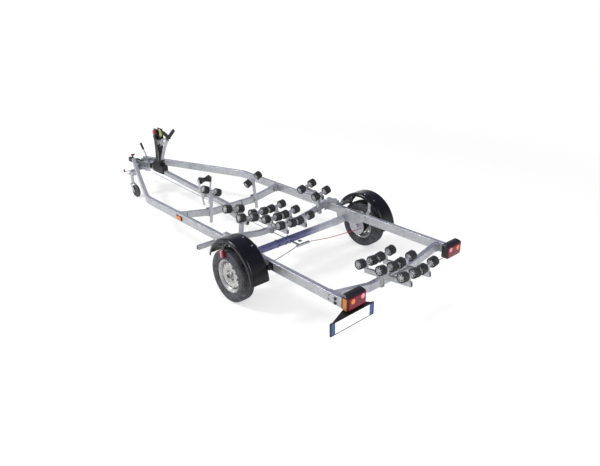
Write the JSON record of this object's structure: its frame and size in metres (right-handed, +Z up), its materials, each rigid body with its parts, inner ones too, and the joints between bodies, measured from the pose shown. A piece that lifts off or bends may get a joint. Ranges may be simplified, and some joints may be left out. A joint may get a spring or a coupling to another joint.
{
  "type": "boat trailer",
  "caption": "Galvanised two-wheel boat trailer with two swing cradles of black rollers, side rockers, winch post, jockey wheel, handbrake, fenders and lamps.",
  "frame": {"origin": "on the ground, in the middle of the length and the width", "axes": "+X forward to the coupling, +Y left, +Z up"},
  "size_m": [6.0272, 2.157, 1.1496],
  "materials": {
    "galvanised": "hot-dip galvanised, matt",
    "black_steel": "gloss black",
    "axle_blue": "slate blue, satin",
    "tyre": "matt",
    "rim": "silver",
    "roller_rubber": "matt",
    "gaiter": "matt",
    "webbing": "woven strap",
    "lamp_red": "moulded lens",
    "cable": "matt"
  },
  "bodies": {
    "chassis": {"axle": "axle_blue", "axle_saddles": "galvanised", "bow_posts": "galvanised", "bow_stop": "roller_rubber", "brake_linkage": "cable", "coupling_bellows": "gaiter", "coupling_head": "black_steel", "crossbeam_front": "galvanised", "crossbeam_middle": "galvanised", "crossbeam_rear": "galvanised", "drawbar_head": "galvanised", "fender_left": "black_steel", "fender_right": "black_steel", "fender_stays": "galvanised", "jockey_tube": "galvanised", "keel_fork": "galvanised", "lamp_cable": "cable", "lamps": "lamp_red", "plate_holder": "black_steel", "rail_left": "galvanised", "rail_right": "galvanised", "rocker_posts": "galvanised", "spine_tube": "galvanised", "winch_body": "black_steel", "winch_foot": "black_steel", "winch_post": "galvanised"},
    "wheel_left": {"tyre_left": "tyre", "rim_left": "rim", "brake_drum_left": "galvanised"},
    "wheel_right": {"tyre_right": "tyre", "rim_right": "rim", "brake_drum_right": "galvanised"},
    "cradle_middle": {"cradle_middle": "galvanised"},
    "rollers_middle_front_left": {"rollers_middle_front_left": "roller_rubber"},
    "rollers_middle_front_right": {"rollers_middle_front_right": "roller_rubber"},
    "rollers_middle_centre_left": {"rollers_middle_centre_left": "roller_rubber"},
    "rollers_middle_centre_right": {"rollers_middle_centre_right": "roller_rubber"},
    "rollers_middle_back_left": {"rollers_middle_back_left": "roller_rubber"},
    "rollers_middle_back_right": {"rollers_middle_back_right": "roller_rubber"},
    "cradle_rear": {"cradle_rear": "galvanised"},
    "rollers_rear_front_left": {"rollers_rear_front_left": "roller_rubber"},
    "rollers_rear_front_right": {"rollers_rear_front_right": "roller_rubber"},
    "rollers_rear_centre_left": {"rollers_rear_centre_left": "roller_rubber"},
    "rollers_rear_centre_right": {"rollers_rear_centre_right": "roller_rubber"},
    "rollers_rear_back_left": {"rollers_rear_back_left": "roller_rubber"},
    "rollers_rear_back_right": {"rollers_rear_back_right": "roller_rubber"},
    "rocker_left": {"rocker_left": "galvanised"},
    "rollers_rocker_front_left": {"rollers_rocker_front_left": "roller_rubber"},
    "rollers_rocker_back_left": {"rollers_rocker_back_left": "roller_rubber"},
    "rocker_right": {"rocker_right": "galvanised"},
    "rollers_rocker_front_right": {"rollers_rocker_front_right": "roller_rubber"},
    "rollers_rocker_back_right": {"rollers_rocker_back_right": "roller_rubber"},
    "rollers_bow_left": {"rollers_bow_left": "roller_rubber"},
    "rollers_bow_right": {"rollers_bow_right": "roller_rubber"},
    "keel_roller": {"keel_roller": "roller_rubber"},
    "handbrake": {"handbrake_lever": "black_steel"},
    "winch_drum": {"winch_drum": "webbing"},
    "jockey_leg": {"jockey_leg": "galvanised"},
    "jockey_fork": {"jockey_fork": "galvanised"},
    "jockey_wheel": {"jockey_wheel": "roller_rubber"}
  },
  "joints": [
    {"name": "wheel_left_spin", "type": "hinge", "parent": "chassis", "child": "wheel_left", "pos_m": [-1.38639, 1.001, 0.289], "axis": [0, 1, 0], "continuous": true},
    {"name": "wheel_right_spin", "type": "hinge", "parent": "chassis", "child": "wheel_right", "pos_m": [-1.38639, -1.001, 0.289], "axis": [0, 1, 0], "continuous": true},
    {"name": "cradle_middle_tilt", "type": "hinge", "parent": "chassis", "child": "cradle_middle", "pos_m": [-0.95139, 0, 0.467], "axis": [0, 1, 0], "range_deg": [-4.5, 6]},
    {"name": "rollers_middle_front_left_spin", "type": "hinge", "parent": "cradle_middle", "child": "rollers_middle_front_left", "pos_m": [-0.72239, 0.14, 0.555], "axis": [0, 0.9945, 0.1045], "continuous": true},
    {"name": "rollers_middle_front_right_spin", "type": "hinge", "parent": "cradle_middle", "child": "rollers_middle_front_right", "pos_m": [-0.72239, -0.14, 0.555], "axis": [0, 0.9945, -0.1045], "continuous": true},
    {"name": "rollers_middle_centre_left_spin", "type": "hinge", "parent": "cradle_middle", "child": "rollers_middle_centre_left", "pos_m": [-0.98039, 0.14, 0.555], "axis": [0, 0.9945, 0.1045], "continuous": true},
    {"name": "rollers_middle_centre_right_spin", "type": "hinge", "parent": "cradle_middle", "child": "rollers_middle_centre_right", "pos_m": [-0.98039, -0.14, 0.555], "axis": [0, 0.9945, -0.1045], "continuous": true},
    {"name": "rollers_middle_back_left_spin", "type": "hinge", "parent": "cradle_middle", "child": "rollers_middle_back_left", "pos_m": [-1.23839, 0.14, 0.555], "axis": [0, 0.9945, 0.1045], "continuous": true},
    {"name": "rollers_middle_back_right_spin", "type": "hinge", "parent": "cradle_middle", "child": "rollers_middle_back_right", "pos_m": [-1.23839, -0.14, 0.555], "axis": [0, 0.9945, -0.1045], "continuous": true},
    {"name": "cradle_rear_tilt", "type": "hinge", "parent": "chassis", "child": "cradle_rear", "pos_m": [-2.63339, 0, 0.454], "axis": [0, 1, 0], "range_deg": [-12, 3]},
    {"name": "rollers_rear_front_left_spin", "type": "hinge", "parent": "cradle_rear", "child": "rollers_rear_front_left", "pos_m": [-2.44956, 0.14, 0.52162], "axis": [0.0118, 0.9945, 0.1039], "continuous": true},
    {"name": "rollers_rear_front_right_spin", "type": "hinge", "parent": "cradle_rear", "child": "rollers_rear_front_right", "pos_m": [-2.44956, -0.14, 0.52162], "axis": [-0.0118, 0.9945, -0.1039], "continuous": true},
    {"name": "rollers_rear_centre_left_spin", "type": "hinge", "parent": "cradle_rear", "child": "rollers_rear_centre_left", "pos_m": [-2.7059, 0.14, 0.55083], "axis": [0.0118, 0.9945, 0.1039], "continuous": true},
    {"name": "rollers_rear_centre_right_spin", "type": "hinge", "parent": "cradle_rear", "child": "rollers_rear_centre_right", "pos_m": [-2.7059, -0.14, 0.55083], "axis": [-0.0118, 0.9945, -0.1039], "continuous": true},
    {"name": "rollers_rear_back_left_spin", "type": "hinge", "parent": "cradle_rear", "child": "rollers_rear_back_left", "pos_m": [-2.96224, 0.14, 0.58004], "axis": [0.0118, 0.9945, 0.1039], "continuous": true},
    {"name": "rollers_rear_back_right_spin", "type": "hinge", "parent": "cradle_rear", "child": "rollers_rear_back_right", "pos_m": [-2.96224, -0.14, 0.58004], "axis": [-0.0118, 0.9945, -0.1039], "continuous": true},
    {"name": "rocker_left_tilt", "type": "hinge", "parent": "chassis", "child": "rocker_left", "pos_m": [-0.94546, 0.56906, 0.67194], "axis": [-0.0274, 0.9703, 0.2404], "range_deg": [-8, 8]},
    {"name": "rollers_rocker_front_left_spin", "type": "hinge", "parent": "rocker_left", "child": "rollers_rocker_front_left", "pos_m": [-0.82322, 0.556, 0.7386], "axis": [-0.0274, 0.9703, 0.2404], "continuous": true},
    {"name": "rollers_rocker_back_left_spin", "type": "hinge", "parent": "rocker_left", "child": "rollers_rocker_back_left", "pos_m": [-1.07956, 0.556, 0.7094], "axis": [-0.0274, 0.9703, 0.2404], "continuous": true},
    {"name": "rocker_right_tilt", "type": "hinge", "parent": "chassis", "child": "rocker_right", "pos_m": [-0.94546, -0.56906, 0.67194], "axis": [0.0274, 0.9703, -0.2404], "range_deg": [-8, 8]},
    {"name": "rollers_rocker_front_right_spin", "type": "hinge", "parent": "rocker_right", "child": "rollers_rocker_front_right", "pos_m": [-0.82322, -0.556, 0.7386], "axis": [0.0274, 0.9703, -0.2404], "continuous": true},
    {"name": "rollers_rocker_back_right_spin", "type": "hinge", "parent": "rocker_right", "child": "rollers_rocker_back_right", "pos_m": [-1.07956, -0.556, 0.7094], "axis": [0.0274, 0.9703, -0.2404], "continuous": true},
    {"name": "rollers_bow_left_spin", "type": "hinge", "parent": "chassis", "child": "rollers_bow_left", "pos_m": [-0.01339, 0.32775, 0.68883], "axis": [0, 0.9135, 0.4067], "continuous": true},
    {"name": "rollers_bow_right_spin", "type": "hinge", "parent": "chassis", "child": "rollers_bow_right", "pos_m": [-0.01339, -0.32775, 0.68883], "axis": [0, 0.9135, -0.4067], "continuous": true},
    {"name": "keel_roller_spin", "type": "hinge", "parent": "chassis", "child": "keel_roller", "pos_m": [0.66361, 0, 0.604], "axis": [0, 1, 0], "continuous": true},
    {"name": "handbrake_pull", "type": "hinge", "parent": "chassis", "child": "handbrake", "pos_m": [2.32961, 0, 0.545], "axis": [0, 1, 0], "range_deg": [-12, 38]},
    {"name": "winch_drum_spin", "type": "hinge", "parent": "chassis", "child": "winch_drum", "pos_m": [1.86361, 0, 1.045], "axis": [0, 1, 0], "continuous": true},
    {"name": "jockey_leg_slide", "type": "slide", "parent": "chassis", "child": "jockey_leg", "axis": [0, 0, 1], "range_m": [-0.08, 0.012]},
    {"name": "jockey_fork_swivel", "type": "hinge", "parent": "jockey_leg", "child": "jockey_fork", "pos_m": [2.37861, 0.284, 0.2], "axis": [0, 0, 1], "continuous": true},
    {"name": "jockey_wheel_spin", "type": "hinge", "parent": "jockey_fork", "child": "jockey_wheel", "pos_m": [2.29261, 0.284, 0.1], "axis": [0, 1, 0], "continuous": true}
  ]
}
